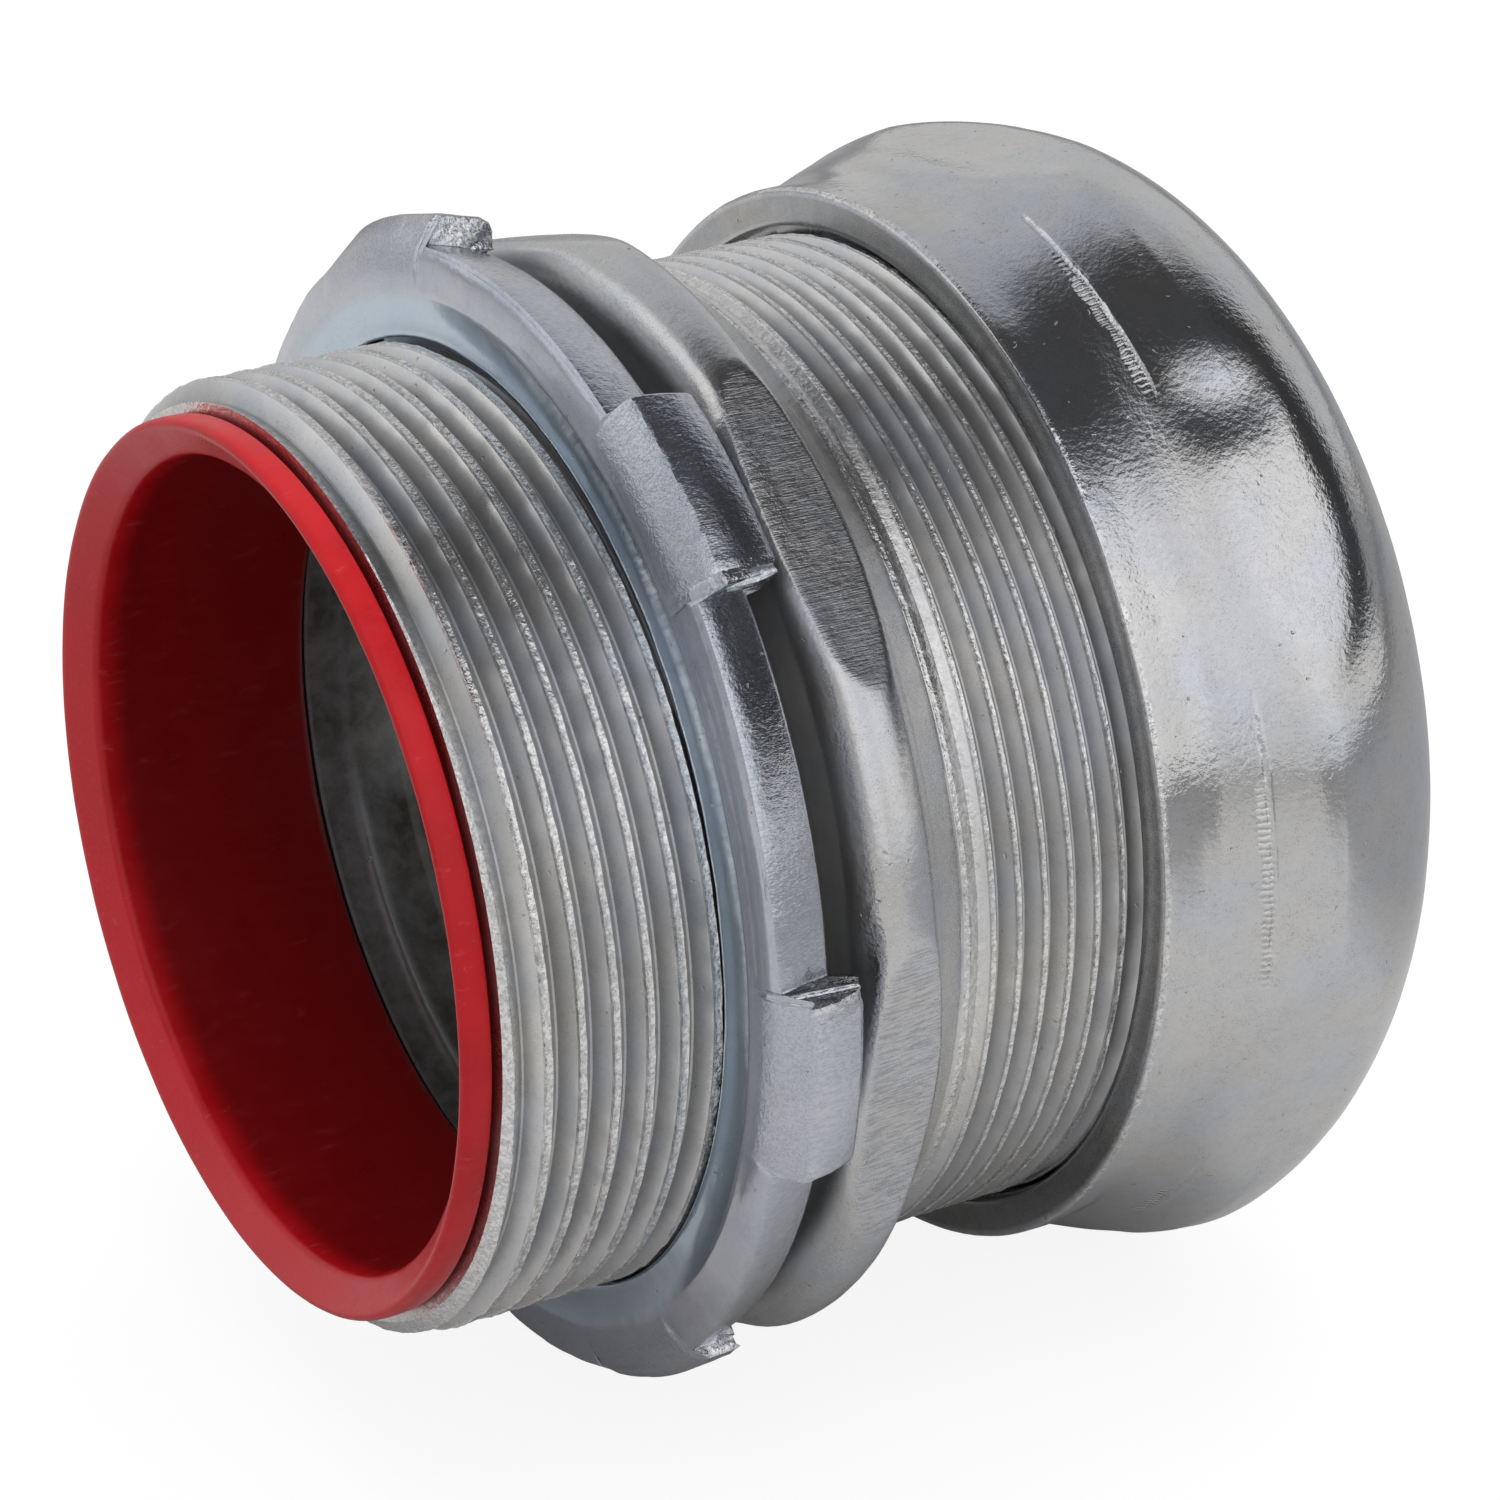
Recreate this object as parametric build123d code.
from build123d import *
import os
from math import cos, pi, radians, sin, tan
from typing import NamedTuple

# Conduit compression connector, 2 inch trade size, steel, insulated throat.
# Millimetres. The axis of the fitting is +X, from the threaded nose (front) towards
# the compression nut (back), and +Z is up. The origin is on the axis, in the plane
# of the shoulder that bears on the box wall.
#
# Every piece is first made about its own +Z axis and then laid along +X, so a
# height z in an outline is the finished X. Angles named _AT go from +Z towards -Y
# on the finished piece, in degrees. Outline points are (radius, height).


# ---------------------------------------------------------------- threads
class ThreadForm(NamedTuple):
    pitch: float
    crest_x: float      # a crest on the +Z side
    crest_r: float
    root_r: float
    crest_flat: float   # axial width of the crest


# 11.5 per inch, straight
NOSE = ThreadForm(pitch=25.4 / 11.5, crest_x=-18.69, crest_r=29.68, root_r=28.35, crest_flat=0.42)
# 14 per inch
HUB = ThreadForm(pitch=25.4 / 14, crest_x=19.12, crest_r=31.30, root_r=30.16, crest_flat=0.30)

FLANK = tan(radians(30))       # 60 degree threads
THREAD_GAP = 0.23              # axial clearance on each flank
THREAD_START = 40.0            # keeps groove ends off the seams of the turned pieces

# ---------------------------------------------------------------- connector body sizes
NOSE_END_X = -20.50
NOSE_END_R = 28.45
NOSE_CHAMFER_LEN = 1.1
NOSE_GROOVE_END_X = -1.75      # the groove runs out over the neck
NECK_R = 28.22                 # plain neck between the thread and the shoulder
NECK_LEN = 2.9
SHOULDER_R = 31.6
HUB_END_X = 31.00

# flange: a round bead with six flats
FLANGE_CORNER_R = 35.35
FLANGE_APOTHEM = 33.65
FLANGE_FLAT_AT = 41.0
FLANGE_LEN = 8.2

# bores
LINER_SEAT_R = 26.60
LINER_SEAT_END_X = -6.30
THROAT_R = 25.95
THROAT_END_X = -3.6
STOP_R = 26.60
STOP_TAPER_END_X = 0.6
STOP_X = 1.20                  # where the conduit's end comes to rest
SOCKET_R = 28.15               # takes conduit of 55.8 mm outside diameter
MOUTH_X = 28.20
MOUTH_R = 30.00

# ---------------------------------------------------------------- throat liner sizes
LIP_FRONT_X = -22.60
LIP_BACK_X = -20.55
LIP_R = 27.62
LINER_OD_R = 26.50
LINER_BORE_R = 25.35
LINER_END_X = -6.70
LINER_CHAMFER = 0.3

# ---------------------------------------------------------------- locknut sizes
LOCK_FRONT_X = -6.50
LOCK_BACK_X = -3.25
LOCK_FACE_X = LOCK_FRONT_X - 0.45   # raised face around the hole
LOCK_FACE_R = 31.0
LOCK_RIM_R = 35.30
LOCK_MINOR_R = 28.95
LOCK_ROOT_R = 29.95
LOCK_BLANK_R = LOCK_MINOR_R - 2     # hole before tapping
LUG_OUT_R = 37.00
LUG_TIP_X = -0.75
LUG_IN_R = 34.00
LUG_WIDTH = 19.0                    # degrees
LUGS_AT = (-20.5, 37.0, 94.0, 151.0, 213.5, 276.5)

# ---------------------------------------------------------------- compression nut sizes
NUT_RIM_X = 20.55
NUT_RIM_R = 34.20
NUT_RIM_CHAMFER = 0.25
NUT_BAND_R = NUT_RIM_R + 0.05       # back of the near-straight band at the rim
NUT_BAND_X = NUT_RIM_X + 2.75
NUT_BELLY_X = 31.75
NUT_BELLY_R = 37.00
NUT_DOME_R = 12.0                   # radius of the dome's arc
NUT_DOME_SWEEP = 66.5               # degrees of arc, from the belly inwards
NUT_DOME_STEPS = 8
NUT_END_X = 42.80
NUT_HOLE_R = 28.50
NUT_APOTHEM = 35.75
NUT_FLAT_AT = 55.0
NUT_MINOR_R = 30.60
NUT_ROOT_R = 31.55
NUT_BLANK_R = NUT_MINOR_R - 1.5     # hole before tapping
NUT_RELIEF_R = 31.8                 # plain bore at both ends of the thread
NUT_FRONT_RELIEF_X = NUT_RIM_X + 1.0
NUT_RELIEF_X = 32.6
NUT_CONE_X = 35.0
NUT_CONE_R = 30.6
NUT_CONE_END_X = 38.8

# ---------------------------------------------------------------- gland ring sizes
RING_FRONT_X = 31.30
RING_BACK_X = 37.10
RING_BORE_R = 28.25
RING_BORE_CHAMFER = 0.15
RING_OUT_R = 30.30
RING_FRONT_R = 28.90
RING_BACK_R = 29.30
RING_FRONT_TAPER_LEN = 2.12
RING_BACK_TAPER_X = 35.20
RING_GAP = 5.0
RING_GAP_AT = 180.0                 # the split is at the bottom


# ---------------------------------------------------------------- helpers
def in_plane(points):
    """(radius, height) pairs as 3D points in the XZ plane."""
    return [(r, 0, z) for r, z in points]


def closed_face(points):
    return make_face(Polyline(*in_plane(points), close=True))


def turned(points, angle=360.0):
    """A closed outline turned about +Z."""
    return revolve(closed_face(points), Axis.Z, angle)


def turn_to(angle):
    """Rotation that brings a piece's own +X to an _AT angle."""
    return Rot(0, 0, angle - 180.0)


def lay(shape):
    """Lay a piece made about +Z along +X."""
    return Rot(0, 90, 0) * shape


def hexagon(apothem, flat_at, z0, z1):
    side = turn_to(flat_at + 30) * RegularPolygon(apothem / cos(pi / 6), 6)
    return Pos(0, 0, z0) * extrude(side, z1 - z0)


def thread_groove(thread, z_from, z_to, overcut):
    """Cutter for the space between crests, reaching overcut beyond the crest radius.

    It starts within half a pitch of z_from and ends at z_to.
    """
    pitch = thread.pitch
    crest_gap = pitch - thread.crest_flat
    root_half = crest_gap / 2 - (thread.crest_r - thread.root_r) * FLANK
    mouth_half = crest_gap / 2 + overcut * FLANK
    mouth_r = thread.crest_r + overcut

    # half a pitch from crest to groove, and half a turn back from the +Z side, cancel
    z0 = thread.crest_x + pitch * THREAD_START / 360
    z0 += pitch * round((z_from - z0) / pitch)
    section = closed_face([
        (thread.root_r, z0 - root_half),
        (mouth_r, z0 - mouth_half),
        (mouth_r, z0 + mouth_half),
        (thread.root_r, z0 + root_half),
    ])
    path = Helix(pitch, z_to - z0, (thread.root_r + mouth_r) / 2, center=(0, 0, z0))
    return Rot(0, 0, THREAD_START) * sweep(section, path=path, is_frenet=True)


def nut_tap(male, root_r, minor_r, z0, z1):
    """A threaded rod that cuts a nut's thread, its crests in line with the male crests."""
    crest_flat = male.crest_flat + 2 * (male.crest_r - root_r) * FLANK + 2 * THREAD_GAP
    form = ThreadForm(male.pitch, male.crest_x, root_r, minor_r, crest_flat)
    end_r = minor_r - 0.15
    lead = root_r - end_r
    rod = turned([
        (0, z0), (end_r, z0), (root_r, z0 + lead),
        (root_r, z1 - lead), (end_r, z1), (0, z1),
    ])
    return rod - thread_groove(form, z0 - 1.7, z1 + 1.7, overcut=0.2)


# ---------------------------------------------------------------- pieces
def make_connector_body():
    # from the shoulder, over the nose, through the bores and back along the hub
    outline = Polyline(*in_plane([
        (SHOULDER_R, 0),
        (NECK_R, 0),
        (NECK_R, -NECK_LEN),
        (NOSE.crest_r, -NECK_LEN),
        (NOSE.crest_r, NOSE_END_X + NOSE_CHAMFER_LEN),
        (NOSE_END_R, NOSE_END_X),
        (LINER_SEAT_R + 0.15, NOSE_END_X),
        (LINER_SEAT_R, NOSE_END_X + 0.15),
        (LINER_SEAT_R, LINER_SEAT_END_X),
        (THROAT_R, LINER_SEAT_END_X),
        (THROAT_R, THROAT_END_X),
        (STOP_R, STOP_TAPER_END_X),
        (STOP_R, STOP_X),
        (SOCKET_R, STOP_X),
        (SOCKET_R, MOUTH_X),
        (MOUTH_R, HUB_END_X),
        (HUB.crest_r - 0.55, HUB_END_X),
        (HUB.crest_r, HUB_END_X - 0.6),
        (HUB.crest_r, FLANGE_LEN),
    ]))
    bead = Spline(*in_plane([
        (HUB.crest_r, FLANGE_LEN),
        (33.15, 6.75),
        (34.75, 5.0),
        (FLANGE_CORNER_R, 3.2),
        (34.75, 1.45),
        (33.2, 0.35),
        (SHOULDER_R, 0),
    ]))
    body = revolve(make_face([outline, bead]), Axis.Z)
    body = body & hexagon(FLANGE_APOTHEM, FLANGE_FLAT_AT, NOSE_END_X - 5, HUB_END_X + 5)
    body = body - thread_groove(NOSE, NOSE_END_X - 1.7, NOSE_GROOVE_END_X, overcut=0.3)
    body = body - thread_groove(HUB, FLANGE_LEN + 0.9, HUB_END_X + 1.5, overcut=0.22)
    return lay(body)


def make_throat_liner():
    return lay(turned([
        (LINER_BORE_R, LIP_FRONT_X + 1.40),
        (LINER_BORE_R + 0.12, LIP_FRONT_X + 1.22),
        (LIP_R - 0.30, LIP_FRONT_X),
        (LIP_R, LIP_FRONT_X + 0.22),
        (LIP_R, LIP_BACK_X),
        (LINER_OD_R, LIP_BACK_X),
        (LINER_OD_R, LINER_END_X + LINER_CHAMFER),
        (LINER_OD_R - LINER_CHAMFER, LINER_END_X),
        (LINER_BORE_R, LINER_END_X),
    ]))


def make_locknut():
    blank = turned([
        (LOCK_BLANK_R, LOCK_FACE_X),
        (LOCK_FACE_R, LOCK_FACE_X),
        (LOCK_RIM_R - 0.5, LOCK_FRONT_X),
        (LOCK_RIM_R, LOCK_FRONT_X + 0.45),
        (LOCK_RIM_R, LOCK_BACK_X),
        (LOCK_BLANK_R, LOCK_BACK_X),
    ])
    locknut = blank - nut_tap(
        NOSE, LOCK_ROOT_R, LOCK_MINOR_R, LOCK_FRONT_X - 2.5, LOCK_BACK_X + 2.5
    )
    # lugs hook over the rim and point back towards the shoulder
    lug = turned([
        (33.6, LOCK_FRONT_X + 0.20),
        (34.4, LOCK_FRONT_X + 0.05),
        (LUG_OUT_R, LOCK_FRONT_X + 1.75),
        (LUG_OUT_R - 0.15, LUG_TIP_X - 0.35),
        (LUG_OUT_R - 0.6, LUG_TIP_X),
        (LUG_IN_R + 0.4, LUG_TIP_X),
        (LUG_IN_R, LUG_TIP_X - 0.4),
        (LUG_IN_R - 0.1, LOCK_BACK_X - 0.2),
        (33.2, LOCK_BACK_X - 0.6),
    ], LUG_WIDTH)
    for angle in LUGS_AT:
        locknut = locknut + turn_to(angle - LUG_WIDTH / 2) * lug
    return lay(locknut)


def make_compression_nut():
    rim = [
        (NUT_RELIEF_R, NUT_RIM_X),
        (NUT_RIM_R - NUT_RIM_CHAMFER, NUT_RIM_X),
        (NUT_RIM_R, NUT_RIM_X + NUT_RIM_CHAMFER),
        (NUT_BAND_R, NUT_BAND_X),
    ]
    rise = Spline(
        *in_plane([
            (NUT_BAND_R, NUT_BAND_X),
            (34.62, NUT_RIM_X + 4.5),
            (35.75, NUT_RIM_X + 7.1),
            (36.65, NUT_RIM_X + 9.4),
            (NUT_BELLY_R, NUT_BELLY_X),
        ]),
        tangents=((0, 0, 1), (0, 0, 1)),
    )
    dome = []
    for i in range(NUT_DOME_STEPS + 1):
        angle = radians(NUT_DOME_SWEEP * i / NUT_DOME_STEPS)
        dome.append((
            NUT_BELLY_R - NUT_DOME_R + NUT_DOME_R * cos(angle),
            NUT_BELLY_X + NUT_DOME_R * sin(angle),
        ))
    # end face and bore, back to the rim
    inside = [
        dome[-1],
        (NUT_HOLE_R + 0.35, NUT_END_X),
        (NUT_HOLE_R, NUT_END_X - 0.3),
        (NUT_HOLE_R, NUT_CONE_END_X),
        (NUT_CONE_R, NUT_CONE_X),
        (NUT_CONE_R, NUT_CONE_X - 0.2),
        (NUT_RELIEF_R, NUT_CONE_X - 0.7),
        (NUT_RELIEF_R, NUT_RELIEF_X),
        (NUT_BLANK_R, NUT_RELIEF_X),
        (NUT_BLANK_R, NUT_FRONT_RELIEF_X),
        (NUT_RELIEF_R, NUT_FRONT_RELIEF_X),
        (NUT_RELIEF_R, NUT_RIM_X),
    ]
    edges = [
        Polyline(*in_plane(rim)), rise, Spline(*in_plane(dome)), Polyline(*in_plane(inside)),
    ]
    nut = revolve(make_face(edges), Axis.Z)
    nut = nut & hexagon(NUT_APOTHEM, NUT_FLAT_AT, NUT_RIM_X - 2, NUT_END_X + 2)
    return lay(nut - nut_tap(
        HUB, NUT_ROOT_R, NUT_MINOR_R, NUT_RIM_X - 1.2, NUT_RELIEF_X + 1.3
    ))


def make_gland_ring():
    ring = turned([
        (RING_BORE_R, RING_FRONT_X + RING_BORE_CHAMFER),
        (RING_BORE_R + RING_BORE_CHAMFER, RING_FRONT_X),
        (RING_FRONT_R, RING_FRONT_X),
        (RING_OUT_R, RING_FRONT_X + RING_FRONT_TAPER_LEN),
        (RING_OUT_R, RING_BACK_TAPER_X),
        (RING_BACK_R, RING_BACK_X),
        (RING_BORE_R + RING_BORE_CHAMFER, RING_BACK_X),
        (RING_BORE_R, RING_BACK_X - RING_BORE_CHAMFER),
    ])
    # a box through one side of the ring, oversize except for the gap
    split = Pos(30, 0, 34) * Box(20, RING_GAP, 20)
    return lay(ring - turn_to(RING_GAP_AT) * split)


PIECES = {
    "connector_body": make_connector_body,
    "throat_liner": make_throat_liner,
    "locknut": make_locknut,
    "compression_nut": make_compression_nut,
    "gland_ring": make_gland_ring,
}

os.makedirs("parts", exist_ok=True)
for name, make in PIECES.items():
    piece = make()
    piece.label = name
    export_step(piece, f"parts/{name}.step")
